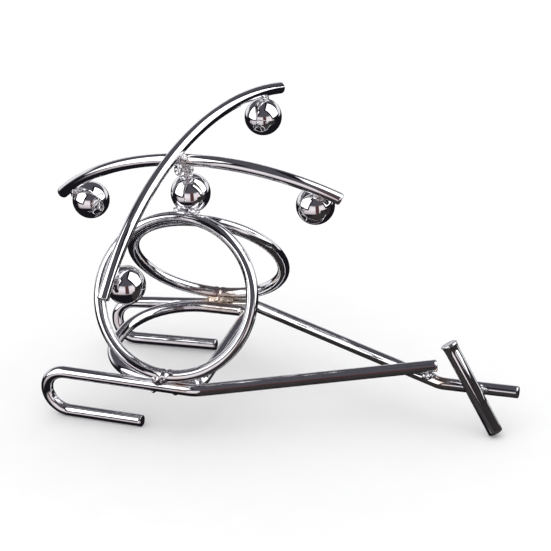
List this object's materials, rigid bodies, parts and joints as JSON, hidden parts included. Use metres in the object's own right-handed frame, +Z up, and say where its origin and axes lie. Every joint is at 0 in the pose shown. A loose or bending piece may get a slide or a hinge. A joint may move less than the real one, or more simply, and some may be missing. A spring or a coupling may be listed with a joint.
{
  "type": "wire helicopter puzzle",
  "caption": "Helicopter of bent chrome-plated wire rings and skids with a turning rotor of drooping blades and balls.",
  "frame": {"origin": "middle of the bounding box's footprint, on the ground plane", "axes": "+X from the nose to the tail, +Y to the far skid, +Z up"},
  "size_m": [0.1406, 0.0882, 0.0842],
  "materials": {
    "chrome_wire": "polished nickel-chrome plate on drawn steel wire",
    "chrome_ball": "mirror-polished chrome plate on steel ball",
    "weld_bead": "lumpy weld bead, plated over",
    "tinted_weld": "lumpy weld bead with brown heat tint"
  },
  "bodies": {
    "frame": {"near_skid": "chrome_wire", "far_skid": "chrome_wire", "near_ring": "chrome_wire", "far_ring": "chrome_wire", "floor_loop": "chrome_wire", "tail_rotor_bar": "chrome_wire", "hub_ball": "chrome_ball", "near_ring_weld": "weld_bead", "floor_near_front_weld": "weld_bead", "floor_near_rear_weld": "weld_bead", "floor_far_weld": "weld_bead", "boom_weld": "weld_bead", "tail_bar_weld": "weld_bead", "hub_seat_nose_weld": "weld_bead", "hub_seat_tail_weld": "weld_bead", "far_ring_weld": "tinted_weld"},
    "rotor": {"mast_pin": "chrome_wire", "upper_blade": "chrome_wire", "lower_blade": "chrome_wire", "blade_weld": "weld_bead", "upper_blade_far_ball": "chrome_ball", "upper_blade_near_ball": "chrome_ball", "lower_blade_tail_ball": "chrome_ball", "lower_blade_nose_ball": "chrome_ball", "upper_blade_far_ball_weld": "weld_bead", "upper_blade_near_ball_weld": "weld_bead", "lower_blade_tail_ball_weld": "weld_bead", "lower_blade_nose_ball_weld": "weld_bead"}
  },
  "joints": [
    {"name": "rotor_spin", "type": "hinge", "parent": "frame", "child": "rotor", "pos_m": [-0.02488, 0.00022, 0.06335], "axis": [-0.0857, -0.2311, 0.9691], "continuous": true}
  ]
}
